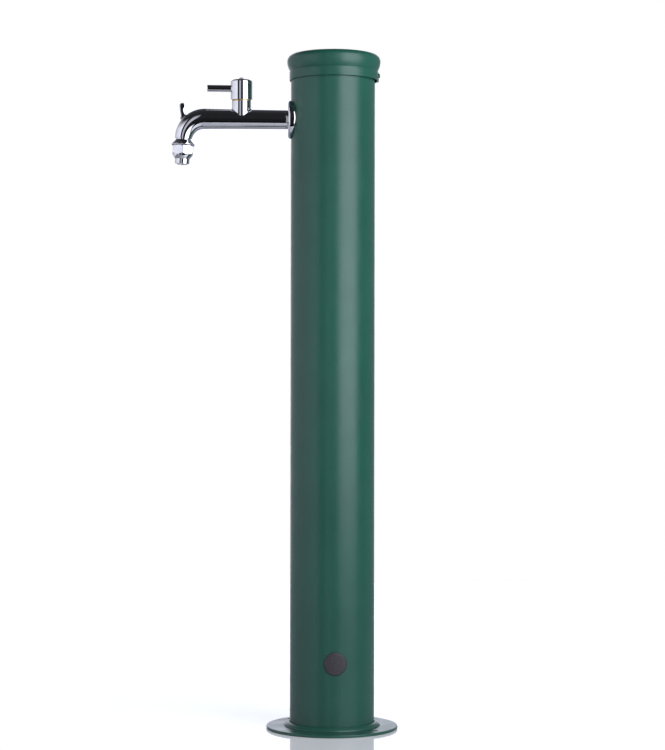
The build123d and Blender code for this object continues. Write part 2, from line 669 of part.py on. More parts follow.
def lower_union_nut():
    high = RISER_BOTTOM + UNION_LENGTH
    nut = hexagon(COMPRESSION_FLATS, RISER_BOTTOM + PAST, high, RISER_REACH)
    nut -= upright(RISER_SOCKET_R + RUNNING_GAP, high - UNION_LIP - PAST, high + PAST, RISER_REACH)
    return nut - upright(COMPRESSION_R + THREAD_GAP, RISER_BOTTOM, high - UNION_LIP, RISER_REACH)


def lower_olive():
    near, far = OLIVE_SPAN
    return ring(RISER_R + TIGHT_GAP, OLIVE_R, RISER_BOTTOM + near, RISER_BOTTOM + far, RISER_REACH)


def riser_bracket(low):
    """A welded tab that ends in a ring round the riser."""
    high = low + BRACKET_T
    bar = Box(OUTSIDE_R, BRACKET_TAB_W, BRACKET_TAB_T, align=(Align.MAX, Align.CENTER, Align.CENTER))
    tab = Pos(-RISER_REACH - BRACKET_BORE_R, 0, (low + high) / 2) * bar
    tab &= upright(COLUMN_R - COLUMN_WALL - RUNNING_GAP, low, high)
    collar = upright(BRACKET_RING_R, low, high, RISER_REACH)
    return tab + collar - upright(BRACKET_BORE_R, low - PAST, high + PAST, RISER_REACH)


def bracket_bush(low):
    outer = BRACKET_BORE_R - RUNNING_GAP
    return ring(RISER_R + TIGHT_GAP, outer, low - BUSH_LIP, low + BRACKET_T + BUSH_LIP, RISER_REACH)


def at_brackets(make):
    return Compound(children=[make(height) for height in BRACKET_HEIGHTS])


PARTS = {
    "base_flange": base_flange(),
    "foot_collar": foot_collar(),
    "column_tube": column_tube(),
    "service_plug": service_plug(),
    "top_cap": top_cap(),
    "cap_screw": cap_screw(),
    "cap_clip_nut": cap_clip_nut(),
    "tap_body": tap_body(),
    "rosette": rosette(),
    "tap_gasket": tap_gasket(),
    "wall_washer": wall_washer(),
    "backnut": backnut(),
    "cartridge_body": cartridge_body(),
    "cartridge_seal": cartridge_seal(),
    "seat_seal": seat_seal(),
    "fixed_disc": ceramic_disc(FIXED_DISC, 0),
    "turning_disc": ceramic_disc(TURNING_DISC, 90),
    "spindle": spindle(),
    "spindle_seal": spindle_seal(),
    "spindle_clip": spindle_clip(),
    "handle_knob": handle_knob(),
    "handle_lever": handle_lever(),
    "handle_screw": handle_screw(),
    "handle_button": handle_button(),
    "outlet_collar": outlet_collar(),
    "outlet_nozzle": outlet_nozzle(),
    "outlet_washer": outlet_washer(),
    "flow_straightener": flow_straightener(),
    "riser_elbow": riser_elbow(),
    "riser_pipe": riser_pipe(),
    "upper_union_nut": upper_union_nut(),
    "upper_olive": upper_olive(),
    "inlet_connector": inlet_connector(),
    "lower_union_nut": lower_union_nut(),
    "lower_olive": lower_olive(),
    "riser_brackets": at_brackets(riser_bracket),
    "bracket_bushes": at_brackets(bracket_bush),
}

os.makedirs("parts", exist_ok=True)
for name, solid in PARTS.items():
    export_step(solid, f"parts/{name}.step")
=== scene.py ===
import json
import math

import bmesh
import bpy
from mathutils import Matrix, Vector


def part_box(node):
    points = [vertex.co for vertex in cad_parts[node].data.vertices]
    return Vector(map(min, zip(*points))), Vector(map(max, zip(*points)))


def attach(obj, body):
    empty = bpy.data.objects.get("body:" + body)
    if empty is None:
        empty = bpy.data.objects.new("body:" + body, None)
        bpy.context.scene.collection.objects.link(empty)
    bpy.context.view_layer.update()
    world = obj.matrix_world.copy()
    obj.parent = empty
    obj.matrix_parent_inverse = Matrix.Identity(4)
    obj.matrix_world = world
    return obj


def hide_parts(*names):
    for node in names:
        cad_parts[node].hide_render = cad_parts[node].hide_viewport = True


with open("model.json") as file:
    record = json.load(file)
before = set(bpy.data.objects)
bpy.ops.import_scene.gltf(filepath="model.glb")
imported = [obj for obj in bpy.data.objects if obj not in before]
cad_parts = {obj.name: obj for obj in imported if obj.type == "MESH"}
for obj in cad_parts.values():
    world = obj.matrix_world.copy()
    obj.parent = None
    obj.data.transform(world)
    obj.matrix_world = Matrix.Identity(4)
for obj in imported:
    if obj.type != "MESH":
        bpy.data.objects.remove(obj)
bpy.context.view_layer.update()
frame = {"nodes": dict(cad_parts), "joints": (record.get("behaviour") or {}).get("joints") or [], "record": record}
NODES = frame["nodes"]
MM = 0.001
TAU = 2 * math.pi

# ---------------------------------------------------------------------------------------------
# Sizes, in metres, read from the frame or named here
# ---------------------------------------------------------------------------------------------

def middle(node):
    low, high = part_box(node)
    return (low + high) / 2


def span(node):
    low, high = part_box(node)
    return high - low


JOINTS = {joint["name"]: joint for joint in frame["joints"]}
COLUMN_R = span("column_tube").x / 2
COLUMN_WALL = 2.0 * MM
TAP_HOLE_R = 10.98 * MM
PLUG_HOLE_R = 15.0 * MM
HOLE_CUT = 40.0 * MM
BASE_OPENING_R = 50.0 * MM
COLUMN_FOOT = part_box("column_tube")[0].z
COLUMN_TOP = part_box("column_tube")[1].z
FLANGE_T = span("base_flange").z
TAP_Z = middle("rosette").z
VALVE_X = JOINTS["handle_turn"]["pos_m"][0]
ROSETTE_R = span("rosette").z / 2
PLUG_Z = middle("service_plug").z
CAP_X = middle("top_cap").x
CAP_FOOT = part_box("top_cap")[0].z
CAP_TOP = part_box("top_cap")[1].z
CAP_BULGE_R = span("top_cap").x / 2
KNOB_R = span("handle_knob").y / 2
KNOB_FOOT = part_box("handle_knob")[0].z
KNOB_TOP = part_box("handle_knob")[1].z
LEVER_Z = middle("handle_lever").z
LEVER_R = span("handle_lever").z / 2
LEVER_TIP_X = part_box("handle_lever")[0].x
BUTTON_R = span("handle_button").x / 2
BUTTON_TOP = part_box("handle_button")[1].z
BOSS_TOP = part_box("cartridge_seal")[1].z + 0.1 * MM

PIPE_R = 13.95 * MM
PIPE_MID_R = 14.25 * MM
PIPE_BEND_R = 15.0 * MM
SPOUT_END_R = 12.2 * MM
THREAD_R = 10.48 * MM
THREAD_PITCH = 1.814 * MM
THREAD_DEPTH = 0.9 * MM
BORE_R = 6.5 * MM
BOSS_R = 13.9 * MM
BOSS_FILLET = 1.7 * MM
SHOULDER_X = -62.2 * MM
SHANK_END_X = -34.0 * MM
TAPER_X = -130.0 * MM
BEND_X = -184.0 * MM
BEND_R = 30.5 * MM
BEND_TURN = math.radians(87.0)
HOOK_HALF_T = 2.2 * MM
HOOK_SQUARE = 6.0
HOOK_NECK_R = 2.7 * MM
HOOK_BULB_R = 4.25 * MM
# The hook's centreline, from inside the bend to the middle of its round end.
HOOK_LINE_MM = (
    (-208.8, 866.2), (-212.5, 871.5), (-214.9, 876.6), (-216.4, 881.3), (-216.8, 885.5), (-216.1, 890.0),
)


# ---------------------------------------------------------------------------------------------
# Mesh tools
# ---------------------------------------------------------------------------------------------

def add_mesh(name, points, faces, sharp=40.0):
    """A smooth-shaded mesh object with its sharp edges kept sharp."""
    mesh = bpy.data.meshes.new(name)
    mesh.from_pydata([tuple(p) for p in points], [], faces)
    work = bmesh.new()
    work.from_mesh(mesh)
    bmesh.ops.recalc_face_normals(work, faces=work.faces)
    work.to_mesh(mesh)
    work.free()
    mesh.shade_smooth()
    mesh.set_sharp_from_angle(angle=math.radians(sharp))
    piece = bpy.data.objects.new(name, mesh)
    bpy.context.scene.collection.objects.link(piece)
    return piece


def skin(rings, closed=False, first_tip=None, last_tip=None):
    """Points and faces of a surface through rings of equal length, with optional end tips."""
    count = len(rings[0])
    points = [p for ring in rings for p in ring]
    faces = []
    spans = len(rings) if closed else len(rings) - 1
    for i in range(spans):
        here = i * count
        there = ((i + 1) % len(rings)) * count
        for j in range(count):
            k = (j + 1) % count
            faces.append((here + j, here + k, there + k, there + j))
    for tip, start in ((first_tip, 0), (last_tip, (len(rings) - 1) * count)):
        if tip is not None:
            points.append(tip)
            faces += [(start + j, start + (j + 1) % count, len(points) - 1) for j in range(count)]
    return points, faces


def frame_of(axis):
    """Two unit vectors square to an axis."""
    axis = Vector(axis).normalized()
    side = Vector((0, 1, 0)) if abs(axis.y) < 0.9 else Vector((1, 0, 0))
    first = side.cross(axis).normalized()
    return first, axis.cross(first)


def ring_at(centre, axis, radius, count):
    first, second = frame_of(axis)
    turns = [TAU * j / count for j in range(count)]
    return [centre + first * (radius * math.cos(a)) + second * (radius * math.sin(a)) for a in turns]


def rounded(corners, steps=5, support=0.25 * MM):
    """An open outline of (radius, height, rounding) corners, with arcs and support points."""
    outline = []
    for i, (a, b, radius) in enumerate(corners):
        here = Vector((a, b))
        if radius == 0 or i in (0, len(corners) - 1):
            outline.append(here)
            continue
        before = (Vector(corners[i - 1][:2]) - here).normalized()
        after = (Vector(corners[i + 1][:2]) - here).normalized()
        half = before.angle(after) / 2
        cut = radius / math.tan(half)
        centre = here + (before + after).normalized() * (radius / math.sin(half))
        start = here + before * cut
        end = here + after * cut
        sweep = math.pi - 2 * half
        outline.append(start + before * support)
        for k in range(steps + 1):
            t = k / steps
            arm = (start - centre) * math.sin((1 - t) * sweep) + (end - centre) * math.sin(t * sweep)
            outline.append(centre + arm / math.sin(sweep))
        outline.append(end + after * support)
    return outline


def lathe(name, outline, origin, axis=(0, 0, 1), count=192, closed=False, sharp=40.0):
    """Turns an outline of (radius, height) about an axis. Ends at radius 0 become tips."""
    axis = Vector(axis).normalized()
    origin = Vector(origin)
    outline = list(outline)
    tips = [None, None]
    for which, index in ((0, 0), (1, -1)):
        if not closed and outline[index][0] < 1e-7:
            tips[which] = origin + axis * outline[index][1]
    body = outline[(1 if tips[0] else 0):(-1 if tips[1] else None)]
    rings = [ring_at(origin + axis * p[1], axis, p[0], count) for p in body]
    points, faces = skin(rings, closed, tips[0], tips[1])
    return add_mesh(name, points, faces, sharp)


def cut(piece, cutters):
    """Takes each cutter out of a piece and removes the cutters."""
    for cutter in cutters:
        modifier = piece.modifiers.new("cut", "BOOLEAN")
        modifier.object = cutter
        modifier.operation = "DIFFERENCE"
        modifier.solver = "EXACT"
    graph = bpy.context.evaluated_depsgraph_get()
    mesh = bpy.data.meshes.new_from_object(piece.evaluated_get(graph))
    piece.modifiers.clear()
    piece.data = mesh
    mesh.shade_smooth()
    mesh.set_sharp_from_angle(angle=math.radians(40))
    for cutter in cutters:
        bpy.data.objects.remove(cutter)
    return piece


def finish_piece(piece, body, slot, material, *nodes):
    """Rides a body, takes one material and stands in for CAD nodes, which it hides."""
    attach(piece, body)
    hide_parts(*nodes)
    piece.data.materials.clear()
    piece.data.materials.append(material)
    return piece


# ---------------------------------------------------------------------------------------------
# Materials
# ---------------------------------------------------------------------------------------------

class Nodes:
    """A short way to write a shader's nodes."""

    def __init__(self, name, base, roughness, metallic=0.0, **sockets):
        self.material = bpy.data.materials.new(name)
        self.material.use_nodes = True
        self.tree = self.material.node_tree
        self.shader = self.tree.nodes["Principled BSDF"]
        self.shader.inputs["Base Color"].default_value = (*base, 1)
        self.shader.inputs["Roughness"].default_value = roughness
        self.shader.inputs["Metallic"].default_value = metallic
        for socket, value in sockets.items():
            self.shader.inputs[socket.replace("_", " ")].default_value = value
        self.base = base
        self.place = self.add("ShaderNodeTexCoord").outputs["Object"]

    def add(self, kind, **settings):
        node = self.tree.nodes.new(kind)
        for key, value in settings.items():
            setattr(node, key, value)
        return node

    def link(self, source, target):
        self.tree.links.new(source, target)

    def noise(self, scale, detail=3.0, rough=0.5, stretch=None):
        node = self.add("ShaderNodeTexNoise")
        node.inputs["Scale"].default_value = scale
        node.inputs["Detail"].default_value = detail
        node.inputs["Roughness"].default_value = rough
        place = self.place
        if stretch:
            mapping = self.add("ShaderNodeMapping")
            mapping.inputs["Scale"].default_value = stretch
            self.link(place, mapping.inputs["Vector"])
            place = mapping.outputs["Vector"]
        self.link(place, node.inputs["Vector"])
        return node.outputs["Fac"]

    def spread(self, source, low, high, from_low=0.3, from_high=0.7):
        """Maps a mask from one range to another, softly."""
        node = self.add("ShaderNodeMapRange", interpolation_type="SMOOTHSTEP")
        node.inputs["From Min"].default_value = from_low
        node.inputs["From Max"].default_value = from_high
        node.inputs["To Min"].default_value = low
        node.inputs["To Max"].default_value = high
        self.link(source, node.inputs["Value"])
        return node.outputs["Result"]

    def math(self, operation, first, second):
        node = self.add("ShaderNodeMath", operation=operation)
        for socket, value in zip(node.inputs, (first, second)):
            if isinstance(value, (int, float)):
                socket.default_value = value
            else:
                self.link(value, socket)
        return node.outputs["Value"]

    def mix(self, factor, first, second):
        """A colour between two; each may be a colour or a socket."""
        node = self.add("ShaderNodeMix", data_type="RGBA")
        self.link(factor, node.inputs["Factor"])
        for name, value in (("A", first), ("B", second)):
            socket = [s for s in node.inputs if s.name == name and s.type == "RGBA"][0]
            if isinstance(value, tuple):
                socket.default_value = (*value, 1)
            else:
                self.link(value, socket)
        return [s for s in node.outputs if s.type == "RGBA"][0]

    def height(self):
        """The height above the floor, in metres."""
        split = self.add("ShaderNodeSeparateXYZ")
        self.link(self.place, split.inputs["Vector"])
        return split.outputs["Z"]

    def bump(self, source, distance, strength=1.0, after=None):
        node = self.add("ShaderNodeBump")
        node.inputs["Distance"].default_value = distance
        node.inputs["Strength"].default_value = strength
        self.link(source, node.inputs["Height"])
        if after is not None:
            self.link(after, node.inputs["Normal"])
        return node.outputs["Normal"]

    def colour(self, source):
        self.link(source, self.shader.inputs["Base Color"])

    def rough(self, source):
        self.link(source, self.shader.inputs["Roughness"])

    def normal(self, source):
        self.link(source, self.shader.inputs["Normal"])


def shade(colour, factor):
    return tuple(min(c * factor, 1.0) for c in colour)


def powder_coat():
    """Satin green powder coat: fine orange peel, flecks, slight drift of shade, dust at the foot."""
    n = Nodes("green_powder_coat", (0.0138, 0.096, 0.064), 0.37, IOR=1.5)
    drift = n.spread(n.noise(9.0, 2.0), 0.0, 1.0)
    spot_paleness = n.spread(n.noise(1500.0, 1.0), 0.0, 1.0, 0.56, 0.70)
    shade_a = n.mix(drift, shade(n.base, 0.93), shade(n.base, 1.07))
    shade_b = n.mix(n.math("MULTIPLY", spot_paleness, 0.32), shade_a, shade(n.base, 2.1))
    dust = n.math("MULTIPLY", n.spread(n.height(), 0.16, 0.0, 0.0, 0.03), n.noise(160.0, 4.0))
    n.colour(n.mix(dust, shade_b, (0.16, 0.17, 0.15)))
    n.rough(n.spread(n.noise(35.0, 4.0), 0.29, 0.36))
    peel = n.bump(n.noise(620.0, 2.0), 0.00007, 0.6)
    n.normal(n.bump(n.noise(1700.0, 1.0), 0.00003, 0.6, peel))
    return n.material


def chrome_plate():
    """Bright chrome over a polished casting, with faint waves, wiping marks and water spots."""
    n = Nodes("polished_chrome", (0.80, 0.80, 0.80), 0.03, 1.0)
    marks = n.noise(140.0, 5.0, 0.6, (1.0, 0.35, 1.0))
    spots = n.spread(n.noise(420.0, 2.0), 0.0, 1.0, 0.66, 0.74)
    rough = n.math("ADD", n.spread(marks, 0.015, 0.06, 0.35, 0.75), n.math("MULTIPLY", spots, 0.05))
    n.rough(rough)
    n.colour(n.mix(n.spread(marks, 0.0, 1.0), (0.83, 0.83, 0.83), (0.76, 0.76, 0.77)))
    n.normal(n.bump(n.noise(90.0, 2.0), 0.00004, 0.25))
    return n.material


def turned_metal(name, base, roughness, lines=900.0):
    """Plain machined metal with fine tool marks and dull patches."""
    n = Nodes(name, base, roughness, 1.0)
    grain = n.noise(lines, 2.0, 0.6, (1.0, 1.0, 6.0))
    patches = n.noise(70.0, 5.0, 0.6)
    n.rough(n.spread(patches, roughness * 0.75, roughness * 1.5))
    n.colour(n.mix(n.spread(patches, 0.0, 1.0), shade(base, 0.85), shade(base, 1.1)))
    n.normal(n.bump(grain, 0.00003, 0.4))
    return n.material


def moulded(name, base, roughness, grain, depth, spot_paleness=1.22, **sockets):
    """Moulded plastic or rubber with a spark-eroded grain and slightly polished patches.

    The factor after depth sets how much lighter the grain's high spots are than the base colour: a painted
    highlight on the raised grain, with painted shade in its pits, as the colour follows the bump's own noise."""
    n = Nodes(name, base, roughness, **sockets)
    patches = n.noise(110.0, 4.0)
    n.rough(n.spread(patches, roughness * 0.88, min(roughness * 1.12, 1.0)))
    # Painted highlight and shade: the colour uses the same noise as the bump, so the grain's high spots are
    # lighter and its pits darker.
    n.colour(n.mix(n.spread(n.noise(grain, 2.0), 0.0, 1.0), shade(base, 0.82), shade(base, spot_paleness)))
    n.normal(n.bump(n.noise(grain, 2.0), depth, 0.7))
    return n.material


PAINT = powder_coat()
CHROME = chrome_plate()
MATERIALS = {
    "green_paint": PAINT,
    "chrome_plate": CHROME,
    "plain_brass": turned_metal("machined_brass", (0.70, 0.47, 0.17), 0.24),
    "zinc_steel": turned_metal("zinc_plated_steel", (0.55, 0.56, 0.58), 0.32),
    # Painted shade: this dark steel goes on the cap's screw, whose dark colour stands in for the shade and dark
    # reflections on the edges of its green-painted head.
    "dark_steel": turned_metal("screw_shade_dark_steel", (0.06, 0.06, 0.065), 0.34),
    "stainless_pipe": turned_metal("drawn_stainless", (0.56, 0.57, 0.58), 0.22, 500.0),
    "black_rubber": moulded("moulded_rubber", (0.018, 0.018, 0.019), 0.75, 900.0, 0.00004),
    # This grain carries strong painted highlight on its high spots and painted shade in its pits.
    "black_plastic": moulded("grained_black_plastic", (0.027, 0.0245, 0.028), 0.55, 1100.0, 0.00012, 2.4),
    "grey_plastic": moulded("milky_grey_plastic", (0.42, 0.43, 0.44), 0.30, 700.0, 0.00001),
    "white_plastic": moulded("white_acetal", (0.72, 0.72, 0.69), 0.42, 800.0, 0.00001),
    "white_ceramic": moulded("lapped_ceramic", (0.80, 0.79, 0.74), 0.18, 1200.0, 0.000005),
}


def dress_cad_nodes():
    """Gives every CAD node the detailed material of its slot."""
    slots = {row["node"]: row["material_slot"] for row in frame["record"]["subparts"]}
    for name, node in NODES.items():
        node.data.materials.clear()
        node.data.materials.append(MATERIALS[slots[name]])
        node.data.shade_smooth()
        node.data.set_sharp_from_angle(angle=math.radians(32))


# ---------------------------------------------------------------------------------------------
# Column, base and cap
# ---------------------------------------------------------------------------------------------

def make_column():
    inner = COLUMN_R - COLUMN_WALL
    rim = 0.5 * MM
    outer_side = [(COLUMN_R, COLUMN_FOOT + rim * k) for k in (0, 1)]
    levels = [COLUMN_FOOT + (COLUMN_TOP - COLUMN_FOOT) * k / 24 for k in range(1, 24)]
    outline = outer_side + [(COLUMN_R, level) for level in levels]
    outline += [(COLUMN_R, COLUMN_TOP - rim), (COLUMN_R - 0.15 * MM, COLUMN_TOP - 0.15 * MM)]
    outline += [(COLUMN_R - rim, COLUMN_TOP), (inner, COLUMN_TOP), (inner, COLUMN_FOOT)]
    tube = lathe("column_tube_skin", outline, (0, 0, 0), count=256, closed=True)
    cutters = []
    for name, radius, toward, height in (("tap_hole", TAP_HOLE_R, (-1, 0, 0), TAP_Z),
                                         ("plug_hole", PLUG_HOLE_R, (0, -1, 0), PLUG_Z)):
        origin = Vector(toward) * HOLE_CUT + Vector((0, 0, height))
        outline = [(0, 0), (radius, 0), (radius, HOLE_CUT), (0, HOLE_CUT)]
        cutters.append(lathe(name, outline, origin, toward, 96))
    cut(tube, cutters)
    finish_piece(tube, "stand", "green_paint", PAINT, "column_tube")


def arc_through(first, second, third, steps):
    """Points on the circle through three (radius, height) points, from the first to the third."""
    (ax, ay), (bx, by), (cx, cy) = first, second, third
    twice = 2 * (ax * (by - cy) + bx * (cy - ay) + cx * (ay - by))
    squares = [px * px + py * py for px, py in (first, second, third)]
    centre = Vector(((squares[0] * (by - cy) + squares[1] * (cy - ay) + squares[2] * (ay - by)) / twice,
                     (squares[0] * (cx - bx) + squares[1] * (ax - cx) + squares[2] * (bx - ax)) / twice))
    start = Vector(first) - centre
    end = Vector(third) - centre
    sweep = start.angle(end)
    found = []
    for k in range(steps + 1):
        t = k / steps
        arm = start * math.sin((1 - t) * sweep) + end * math.sin(t * sweep)
        found.append(centre + arm / math.sin(sweep))
    return found


def make_foot_collar():
    """The low crowned ring round the column's foot, with a groove between its lip and the column."""
    low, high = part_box("foot_collar")
    outer = (high.x - low.x) / 2
    inner = COLUMN_R + 0.1 * MM
    rim = (outer, low.z + 0.5 * MM)
    crown = (outer - 3.6 * MM, low.z + 4.3 * MM)
    lip = (inner + 1.1 * MM, high.z)
    outline = [(inner, low.z), (outer - 0.2 * MM, low.z), (outer, low.z + 0.2 * MM)]
    outline += arc_through(rim, crown, lip, 16)
    outline += [(inner + 0.75 * MM, high.z - 0.15 * MM), (inner + 0.4 * MM, high.z - 0.8 * MM),
                (inner, high.z - 1.6 * MM)]
    collar = lathe("foot_collar_ring", outline, (0, 0, 0), count=256, closed=True, sharp=60.0)
    finish_piece(collar, "stand", "green_paint", PAINT, "foot_collar")


def make_base_flange():
    radius = span("base_flange").x / 2
    opening = BASE_OPENING_R
    corners = [(opening, 0.5 * FLANGE_T, 0), (opening, 0, 0.3 * MM), (radius, 0, 0.6 * MM),
               (radius, FLANGE_T, 1.3 * MM), (opening, FLANGE_T, 0.3 * MM), (opening, 0.5 * FLANGE_T, 0)]
    outline = rounded(corners, 6)[:-1]
    flange = lathe("base_flange_disc", outline, (0, 0, 0), count=256, closed=True)
    pattern = [m for m in frame["record"]["mounts"] if m["name"] == "floor_anchors"][0]["dims"]
    hole_r = pattern["hole_r_mm"] * MM
    above = FLANGE_T + 0.4 * MM
    profile = [(0, -MM), (hole_r, -MM), (hole_r, FLANGE_T - 0.4 * MM), (hole_r + 0.8 * MM, above), (0, above)]
    cutters = []
    for k in range(pattern["count"]):
        turn = TAU * (k + 0.5) / pattern["count"]
        place = Vector((math.cos(turn), math.sin(turn), 0)) * (pattern["pcd_mm"] * MM / 2)
        cutters.append(lathe(f"anchor_hole_{k}", profile, place, count=48))
    cut(flange, cutters)
    finish_piece(flange, "stand", "green_paint", PAINT, "base_flange")


def cap_contour(inset):
    """The cap's outside, from its rim to its apex, set in by a thickness."""
    bulge = CAP_BULGE_R - inset
    bulge_z = CAP_TOP - 11.4 * MM
    skirt = bulge - 3.35 * MM
    neck_z = CAP_FOOT + 13.6 * MM
    shoulder_r = CAP_BULGE_R - 9.05 * MM
    shoulder_z = CAP_TOP - 1.8 * MM - inset
    apex = CAP_TOP - inset
    crease = skirt - 0.85 * MM
    points = [(skirt, neck_z - 1.0 * MM), (skirt - 0.2 * MM, neck_z - 0.45 * MM), (crease, neck_z)]
    for k in range(1, 13):
        t = k / 13
        points.append((crease + (bulge - crease) * math.sin(t * math.pi / 2) ** 0.9,
                       neck_z + 0.2 * MM + (bulge_z - neck_z - 0.2 * MM) * t))
    for k in range(19):
        turn = math.radians(82.0) * k / 18
        points.append((shoulder_r + (bulge - shoulder_r) * math.cos(turn),
                       bulge_z + (shoulder_z - bulge_z) * math.sin(turn)))
    edge_r, edge_z = points[-1]
    for k in range(1, 13):
        t = 1 - k / 12
        points.append((edge_r * t, apex - (apex - edge_z) * t * t))
    return points


def make_cap():
    sheet = 1.2 * MM
    outside = cap_contour(0)
    inside = cap_contour(sheet)
    skirt = outside[0][0]
    lip = 0.45 * MM
    rim = [(skirt - sheet, CAP_FOOT + lip), (skirt - sheet + lip, CAP_FOOT + 0.1 * MM),
           (skirt - lip, CAP_FOOT), (skirt - 0.12 * MM, CAP_FOOT + 0.15 * MM), (skirt, CAP_FOOT + lip)]
    outline = inside[::-1] + rim + outside
    cap = lathe("pressed_cap", outline, (CAP_X, 0, 0), count=256)
    finish_piece(cap, "cap", "green_paint", PAINT, "top_cap")


# ---------------------------------------------------------------------------------------------
# Service plug and rosette: shapes that sit on the round column
# ---------------------------------------------------------------------------------------------

def saddle(name, radius, lift, back, toward, height, count=160, steps=40):
    """A round pad seen along `toward`, bent round the column. lift(share) is its height above it."""
    toward = Vector(toward)
    side = Vector((0, 0, 1)).cross(toward)
    rings = []

    def ring(distance, rise):
        found = []
        for j in range(count):
            turn = TAU * j / count
            across = distance * math.cos(turn)
            depth = math.sqrt((COLUMN_R + rise) ** 2 - across ** 2)
            found.append(toward * depth + side * across + Vector((0, 0, height + distance * math.sin(turn))))
        return found

    for k in range(1, steps + 1):
        distance = radius * (1 - (1 - k / steps) ** 1.7)
        rings.append(ring(distance, lift(distance / radius)))
    for k in range(5):
        rings.append(ring(radius * (1 - 0.02 * k), back))
    rings.append(ring(radius * 0.05, back))
    points, faces = skin(rings, False, toward * (COLUMN_R + lift(0)) + Vector((0, 0, height)),
                         toward * (COLUMN_R + back) + Vector((0, 0, height)))
    return add_mesh(name, points, faces, 50.0)


def make_plug():
    radius = span("service_plug").z / 2

    def lift(share):
        edge = 1 - (max(share - 0.82, 0) / 0.18) ** 2
        return 0.35 * MM + 1.55 * MM * math.sqrt(max(edge, 0)) + 0.55 * MM * (1 - share * share)

    head = saddle("service_plug_head", radius, lift, 0.3 * MM, (0, -1, 0), PLUG_Z)
    finish_piece(head, "plug", "black_plastic", MATERIALS["black_plastic"], "service_plug")
    outer = 14.6 * MM
    inner = 12.4 * MM
    start = -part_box("service_plug")[1].y
    length = COLUMN_R + 0.2 * MM - start
    corners = [(inner, 0.5 * MM, 0), (inner, 0, 0.3 * MM), (outer - 0.5 * MM, 0, 0.4 * MM),
               (outer, 1.2 * MM, 0.3 * MM), (outer, length, 0), (inner, length, 0)]
    stem = lathe("service_plug_stem", rounded(corners, 3), (0, -start, PLUG_Z), (0, -1, 0), 96, closed=True)
    finish_piece(stem, "plug", "black_plastic", MATERIALS["black_plastic"], "service_plug")


def make_rosette():
    """A pressed cup: a flat face, a rounded edge, and a wall that tucks in where it meets the column."""
    face_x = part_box("rosette")[0].x
    hole = PIPE_R + 0.12 * MM
    edge_w = 8.0 * MM
    edge_h = 3.5 * MM
    sheet = 1.3 * MM
    tuck = 1.3 * MM
    tuck_length = 3.2 * MM
    count = 256
    columns = []
    for j in range(count):
        turn = TAU * j / count
        arm = Vector((0, math.cos(turn), math.sin(turn)))

        def at(x, radius):
            return Vector((x, 0, TAP_Z)) + arm * radius

        def seat(radius):
            return -math.sqrt(COLUMN_R ** 2 - (radius * arm.y) ** 2)

        foot_r = ROSETTE_R - tuck
        wall = seat(foot_r) - (face_x + edge_h)
        length = min(tuck_length, 0.8 * wall)
        drawn_in = tuck * length / tuck_length
        column = [at(face_x + sheet, hole), at(face_x + 0.25 * MM, hole),
                  at(face_x + 0.07 * MM, hole + 0.07 * MM), at(face_x, hole + 0.3 * MM)]
        column += [at(face_x, hole + (ROSETTE_R - edge_w - hole) * k / 6) for k in range(1, 6)]
        for k in range(19):
            bend = math.pi / 2 * k / 18
            radius = ROSETTE_R - edge_w * (1 - math.sin(bend))
            column.append(at(face_x + edge_h * (1 - math.cos(bend)), radius))
        for k in range(1, 4):
            column.append(at(face_x + edge_h + (wall - length) * k / 3, ROSETTE_R))
        for k in range(1, 9):
            share = k / 8
            column.append(at(seat(foot_r) - length * (1 - share), ROSETTE_R - drawn_in * share ** 2))
        column += [at(seat(foot_r) + 0.05 * MM, ROSETTE_R - drawn_in - sheet),
                   at(min(face_x + edge_h + sheet, seat(foot_r) - 0.3 * MM), ROSETTE_R - drawn_in - sheet),
                   at(face_x + sheet, ROSETTE_R - edge_w)]
        columns.append(column)
    rings = [list(ring) for ring in zip(*columns)]
    points, faces = skin(rings, True)
    cover = add_mesh("rosette_cover", points, faces, 45.0)
    finish_piece(cover, "stand", "chrome_plate", CHROME, "rosette")


# ---------------------------------------------------------------------------------------------
# Tap body
# ---------------------------------------------------------------------------------------------

def bend_point(turn):
    """The bend's centreline point and direction at an angle from its start."""
    centre = Vector((BEND_X - BEND_R * math.sin(turn), 0, TAP_Z - BEND_R * (1 - math.cos(turn))))
    return centre, Vector((-math.cos(turn), 0, -math.sin(turn)))


OUTLET, OUTLET_AXIS = bend_point(BEND_TURN)


